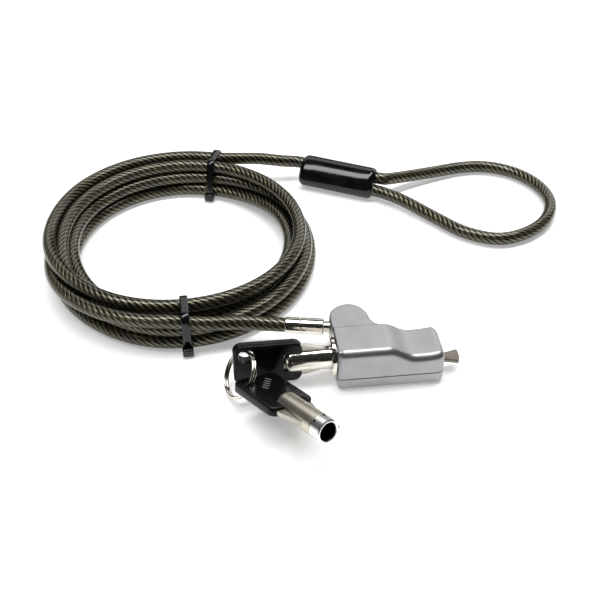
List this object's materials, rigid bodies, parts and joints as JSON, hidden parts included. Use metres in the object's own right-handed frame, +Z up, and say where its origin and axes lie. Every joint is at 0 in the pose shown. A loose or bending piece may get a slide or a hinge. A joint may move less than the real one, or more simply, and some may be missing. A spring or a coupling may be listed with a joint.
{
  "type": "laptop cable lock",
  "caption": "Laptop security cable lock: zinc head with tubular key lock, scissor tip and cable swivel, a tied coil of coated steel cable with a crimped loop, and two keys on a split ring.",
  "frame": {"origin": "centre of the lock head's flat underside, on the table plane", "axes": "+X along the head towards its locking tip, +Y from the head towards the cable swivel and the coil, +Z up out of the table"},
  "size_m": [0.2069, 0.1699, 0.0183],
  "materials": {
    "satin_zinc": "fine satin grain over a cast zinc alloy",
    "nickel_plate": "bright nickel plate",
    "plain_steel": "plain machined steel",
    "pin_brass": "turned brass",
    "smoke_jacket": "glossy clear smoke jacket over a steel rope",
    "black_plastic": "moulded black plastic, softly glossy"
  },
  "bodies": {
    "head": {"housing_upper": "satin_zinc", "housing_lower": "satin_zinc", "cover_screw_front": "plain_steel", "cover_screw_rear": "plain_steel", "lock_shell": "nickel_plate", "jaw_pivot_pin": "plain_steel", "swivel_washer": "plain_steel"},
    "core": {"lock_core": "nickel_plate", "retaining_clip": "plain_steel", "drive_cam": "plain_steel", "tumbler_pin_1": "pin_brass", "tumbler_pin_2": "pin_brass", "tumbler_pin_3": "pin_brass", "tumbler_pin_4": "pin_brass", "tumbler_pin_5": "pin_brass", "tumbler_pin_6": "pin_brass", "tumbler_pin_7": "pin_brass"},
    "jaw_upper": {"jaw_upper": "nickel_plate"},
    "jaw_lower": {"jaw_lower": "nickel_plate"},
    "cable": {"anchor_stud": "nickel_plate", "cable_ferrule": "nickel_plate", "cable_lead": "smoke_jacket", "cable_coil": "smoke_jacket", "cable_tail": "smoke_jacket", "loop_sleeve": "black_plastic", "loop_crimp": "plain_steel", "cable_loop": "smoke_jacket", "tie_front": "black_plastic", "tie_back": "black_plastic"},
    "key_1": {"key_1_shaft": "nickel_plate", "key_1_bow": "black_plastic"},
    "ring": {"split_ring": "nickel_plate"},
    "key_2": {"key_2_shaft": "nickel_plate", "key_2_bow": "black_plastic"}
  },
  "joints": [
    {"name": "key_turn", "type": "hinge", "parent": "head", "child": "core", "pos_m": [-0.01, 0, 0.0085], "axis": [-1, 0, 0], "range_deg": [0, 90]},
    {"name": "jaw_upper_swing", "type": "hinge", "parent": "head", "child": "jaw_upper", "pos_m": [0.01, 0, 0.0046], "axis": [0, 0, 1], "range_deg": [0, 9]},
    {"name": "jaw_lower_swing", "type": "hinge", "parent": "head", "child": "jaw_lower", "pos_m": [0.01, 0, 0.0046], "axis": [0, 0, -1], "range_deg": [0, 9]},
    {"name": "key_withdraw", "type": "slide", "parent": "core", "child": "key_1", "axis": [-1, 0, 0], "range_m": [0, 0.012]},
    {"name": "ring_slide", "type": "hinge", "parent": "key_1", "child": "ring", "pos_m": [-0.04917, -0.0042, 0.00771], "axis": [-0.7988, -0.23, 0.5559], "range_deg": [-14, 2]},
    {"name": "key_2_swing", "type": "hinge", "parent": "ring", "child": "key_2", "pos_m": [-0.04671, -0.01137, 0.00828], "axis": [0.5069, 0.2402, 0.8278], "range_deg": [-15, 2]},
    {"name": "cable_swivel", "type": "hinge", "parent": "head", "child": "cable", "pos_m": [-0.0177, 0.0155, 0.008], "axis": [0.9816, -0.1908, 0], "range_deg": [0, 45]}
  ],
  "couplings": [
    {"joint": "jaw_upper_swing", "follows": "key_turn", "ratio": 0.1},
    {"joint": "jaw_lower_swing", "follows": "key_turn", "ratio": 0.1}
  ]
}
